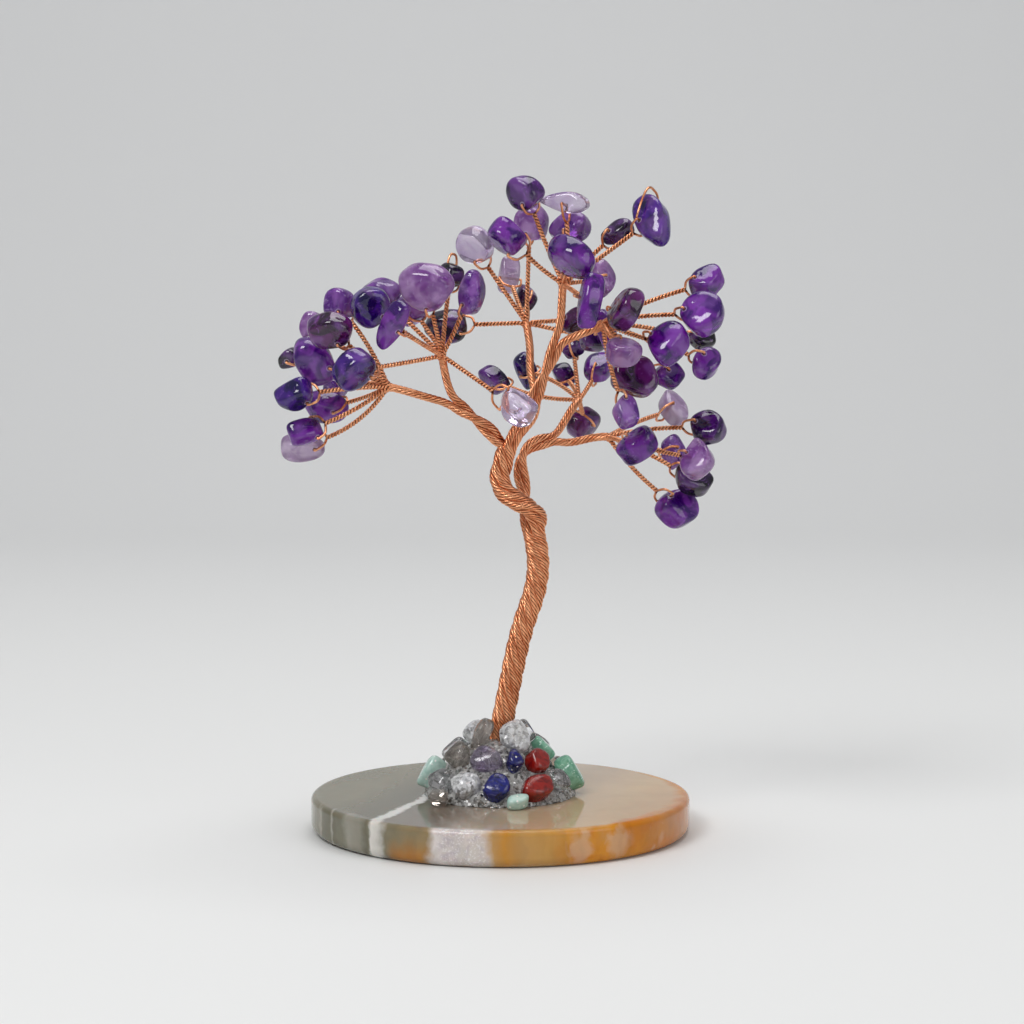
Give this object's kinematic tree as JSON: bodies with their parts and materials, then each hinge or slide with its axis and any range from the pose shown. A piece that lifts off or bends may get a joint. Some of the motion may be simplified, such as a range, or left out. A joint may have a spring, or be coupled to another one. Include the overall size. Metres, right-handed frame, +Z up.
{
  "type": "gemstone tree ornament",
  "caption": "Small desk ornament: a twisted copper-wire tree with drilled amethyst chips hung on its twigs, set in a glued mound of mixed stone chips on a polished agate slice.",
  "frame": {"origin": "middle of the slice's flat underside", "axes": "+Z up, +X to the right of the view in the picture, -Y towards its camera"},
  "size_m": [0.076, 0.0633, 0.1117],
  "materials": {
    "agate": "polished banded agate, grey-green on the left, white band, amber on the right",
    "glue": "clear hardened glue",
    "amazonite": "tumbled pale aqua stone",
    "aventurine": "tumbled green stone",
    "jasper": "tumbled red stone",
    "lapis": "tumbled dark blue stone",
    "quartz": "clear tumbled crystal",
    "smoky": "smoky translucent crystal",
    "copper": "bright drawn copper wire",
    "amethyst": "tumbled translucent violet crystal, glossy"
  },
  "bodies": {
    "tree": {"agate_base": "agate", "glue_bed": "glue", "mound_amazonite": "amazonite", "mound_aventurine": "aventurine", "mound_jasper": "jasper", "mound_lapis": "lapis", "mound_quartz": "quartz", "mound_smoky": "smoky", "bough_top": "copper", "bough_right_low": "copper", "bough_right_back": "copper", "bough_left_low": "copper", "bough_left_high": "copper", "bough_back_centre": "copper", "bough_right_mid": "copper", "twigs_left_low": "copper", "chips_left_low": "amethyst", "twigs_left_high": "copper", "chips_left_high": "amethyst", "twigs_back_centre": "copper", "chips_back_centre": "amethyst", "twigs_top": "copper", "chips_top": "amethyst", "twigs_right_mid": "copper", "chips_right_mid": "amethyst", "twigs_right_back": "copper", "chips_right_back": "amethyst", "twigs_right_low": "copper", "chips_right_low": "amethyst"},
    "swivel_left_low_1": {"swivel_left_low_1": "amethyst"},
    "swivel_left_low_2": {"swivel_left_low_2": "amethyst"},
    "swivel_left_high_1": {"swivel_left_high_1": "amethyst"},
    "swivel_left_high_2": {"swivel_left_high_2": "amethyst"},
    "swivel_left_high_3": {"swivel_left_high_3": "amethyst"},
    "swivel_left_high_4": {"swivel_left_high_4": "amethyst"},
    "swivel_left_high_5": {"swivel_left_high_5": "amethyst"},
    "swivel_back_centre_1": {"swivel_back_centre_1": "amethyst"},
    "swivel_back_centre_2": {"swivel_back_centre_2": "amethyst"},
    "swivel_back_centre_3": {"swivel_back_centre_3": "amethyst"},
    "swivel_top_1": {"swivel_top_1": "amethyst"},
    "swivel_top_2": {"swivel_top_2": "amethyst"},
    "swivel_top_3": {"swivel_top_3": "amethyst"},
    "swivel_top_4": {"swivel_top_4": "amethyst"},
    "swivel_right_mid_1": {"swivel_right_mid_1": "amethyst"},
    "swivel_right_mid_2": {"swivel_right_mid_2": "amethyst"},
    "swivel_right_mid_3": {"swivel_right_mid_3": "amethyst"},
    "swivel_right_mid_4": {"swivel_right_mid_4": "amethyst"},
    "swivel_right_back_1": {"swivel_right_back_1": "amethyst"},
    "swivel_right_back_2": {"swivel_right_back_2": "amethyst"},
    "swivel_right_back_3": {"swivel_right_back_3": "amethyst"},
    "swivel_right_back_4": {"swivel_right_back_4": "amethyst"},
    "swivel_right_low_1": {"swivel_right_low_1": "amethyst"},
    "swivel_right_low_2": {"swivel_right_low_2": "amethyst"},
    "swivel_right_low_3": {"swivel_right_low_3": "amethyst"},
    "swivel_right_low_4": {"swivel_right_low_4": "amethyst"}
  },
  "joints": [
    {"name": "swivel_left_low_1_turn", "type": "hinge", "parent": "tree", "child": "swivel_left_low_1", "pos_m": [-0.03239, -0.00843, 0.07523], "axis": [-0.221, 0.6301, 0.7444], "range_deg": [-20, 20]},
    {"name": "swivel_left_low_2_turn", "type": "hinge", "parent": "tree", "child": "swivel_left_low_2", "pos_m": [-0.03139, -0.00087, 0.06643], "axis": [-0.0647, 0.8514, 0.5205], "range_deg": [-20, 20]},
    {"name": "swivel_left_high_1_turn", "type": "hinge", "parent": "tree", "child": "swivel_left_high_1", "pos_m": [-0.01744, -0.01442, 0.08676], "axis": [-0.4967, 0.6657, 0.557], "range_deg": [-15, 15]},
    {"name": "swivel_left_high_2_turn", "type": "hinge", "parent": "tree", "child": "swivel_left_high_2", "pos_m": [-0.00836, 0.00091, 0.09425], "axis": [0.8462, 0.4909, -0.2071], "range_deg": [-12, 12]},
    {"name": "swivel_left_high_3_turn", "type": "hinge", "parent": "tree", "child": "swivel_left_high_3", "pos_m": [-0.00568, -0.00325, 0.08984], "axis": [0.3512, 0.935, -0.0498], "range_deg": [-15, 15]},
    {"name": "swivel_left_high_4_turn", "type": "hinge", "parent": "tree", "child": "swivel_left_high_4", "pos_m": [-0.02229, -0.01125, 0.07952], "axis": [-0.5265, 0.6201, 0.5816], "range_deg": [-15, 15]},
    {"name": "swivel_left_high_5_turn", "type": "hinge", "parent": "tree", "child": "swivel_left_high_5", "pos_m": [0.00079, -0.00712, 0.0743], "axis": [-0.3239, 0.4633, -0.8249], "range_deg": [-25, 25]},
    {"name": "swivel_back_centre_1_turn", "type": "hinge", "parent": "tree", "child": "swivel_back_centre_1", "pos_m": [-0.00327, 0.00525, 0.09785], "axis": [0.4759, 0.7599, 0.4427], "range_deg": [-20, 20]},
    {"name": "swivel_back_centre_2_turn", "type": "hinge", "parent": "tree", "child": "swivel_back_centre_2", "pos_m": [0.00168, 0.01716, 0.09387], "axis": [0.9542, 0.2776, -0.1116], "range_deg": [-20, 20]},
    {"name": "swivel_back_centre_3_turn", "type": "hinge", "parent": "tree", "child": "swivel_back_centre_3", "pos_m": [-0.00668, 0.00848, 0.08609], "axis": [0.0768, 0.7594, 0.646], "range_deg": [-20, 20]},
    {"name": "swivel_top_1_turn", "type": "hinge", "parent": "tree", "child": "swivel_top_1", "pos_m": [0.00501, -0.0039, 0.1071], "axis": [0.5862, 0.7649, 0.2672], "range_deg": [-25, 25]},
    {"name": "swivel_top_2_turn", "type": "hinge", "parent": "tree", "child": "swivel_top_2", "pos_m": [0.01102, -0.00106, 0.10654], "axis": [0.3519, 0.9263, -0.1344], "range_deg": [-15, 15]},
    {"name": "swivel_top_3_turn", "type": "hinge", "parent": "tree", "child": "swivel_top_3", "pos_m": [0.00276, -0.00557, 0.09998], "axis": [0.6011, 0.3336, 0.7262], "range_deg": [-20, 20]},
    {"name": "swivel_top_4_turn", "type": "hinge", "parent": "tree", "child": "swivel_top_4", "pos_m": [0.02396, -0.00582, 0.10316], "axis": [0.4575, 0.7609, -0.4601], "range_deg": [-12, 12]},
    {"name": "swivel_right_mid_1_turn", "type": "hinge", "parent": "tree", "child": "swivel_right_mid_1", "pos_m": [0.03318, -0.00272, 0.09302], "axis": [0.2479, 0.642, -0.7255], "range_deg": [-20, 20]},
    {"name": "swivel_right_mid_2_turn", "type": "hinge", "parent": "tree", "child": "swivel_right_mid_2", "pos_m": [0.0338, -0.00401, 0.08082], "axis": [-0.221, 0.766, -0.6036], "range_deg": [-15, 15]},
    {"name": "swivel_right_mid_3_turn", "type": "hinge", "parent": "tree", "child": "swivel_right_mid_3", "pos_m": [0.02773, 0.00038, 0.0781], "axis": [-0.4708, 0.7583, -0.4509], "range_deg": [-20, 20]},
    {"name": "swivel_right_mid_4_turn", "type": "hinge", "parent": "tree", "child": "swivel_right_mid_4", "pos_m": [0.02026, -0.01126, 0.074], "axis": [-0.3415, 0.7614, -0.5511], "range_deg": [-25, 25]},
    {"name": "swivel_right_back_1_turn", "type": "hinge", "parent": "tree", "child": "swivel_right_back_1", "pos_m": [0.01678, 0.01875, 0.07731], "axis": [0.0361, 0.5186, -0.8543], "range_deg": [-20, 20]},
    {"name": "swivel_right_back_2_turn", "type": "hinge", "parent": "tree", "child": "swivel_right_back_2", "pos_m": [0.01476, 0.01904, 0.06904], "axis": [-0.7917, 0.3854, 0.4741], "range_deg": [-20, 20]},
    {"name": "swivel_right_back_3_turn", "type": "hinge", "parent": "tree", "child": "swivel_right_back_3", "pos_m": [-0.0001, 0.02298, 0.07534], "axis": [0.7187, 0.5524, 0.4223], "range_deg": [-20, 20]},
    {"name": "swivel_right_back_4_turn", "type": "hinge", "parent": "tree", "child": "swivel_right_back_4", "pos_m": [0.00496, 0.02364, 0.07733], "axis": [0.7583, 0.4644, 0.4575], "range_deg": [-20, 20]},
    {"name": "swivel_right_low_1_turn", "type": "hinge", "parent": "tree", "child": "swivel_right_low_1", "pos_m": [0.02239, -0.00564, 0.06663], "axis": [0.5529, 0.3585, -0.7522], "range_deg": [-20, 20]},
    {"name": "swivel_right_low_2_turn", "type": "hinge", "parent": "tree", "child": "swivel_right_low_2", "pos_m": [0.02944, 0.0166, 0.07073], "axis": [-0.4224, 0.5025, -0.7544], "range_deg": [-20, 20]},
    {"name": "swivel_right_low_3_turn", "type": "hinge", "parent": "tree", "child": "swivel_right_low_3", "pos_m": [0.0334, -0.00106, 0.06914], "axis": [0.2549, 0.7314, -0.6325], "range_deg": [-15, 15]},
    {"name": "swivel_right_low_4_turn", "type": "hinge", "parent": "tree", "child": "swivel_right_low_4", "pos_m": [0.02853, 0.00434, 0.05645], "axis": [-0.4609, 0.7644, -0.4509], "range_deg": [-20, 20]}
  ]
}
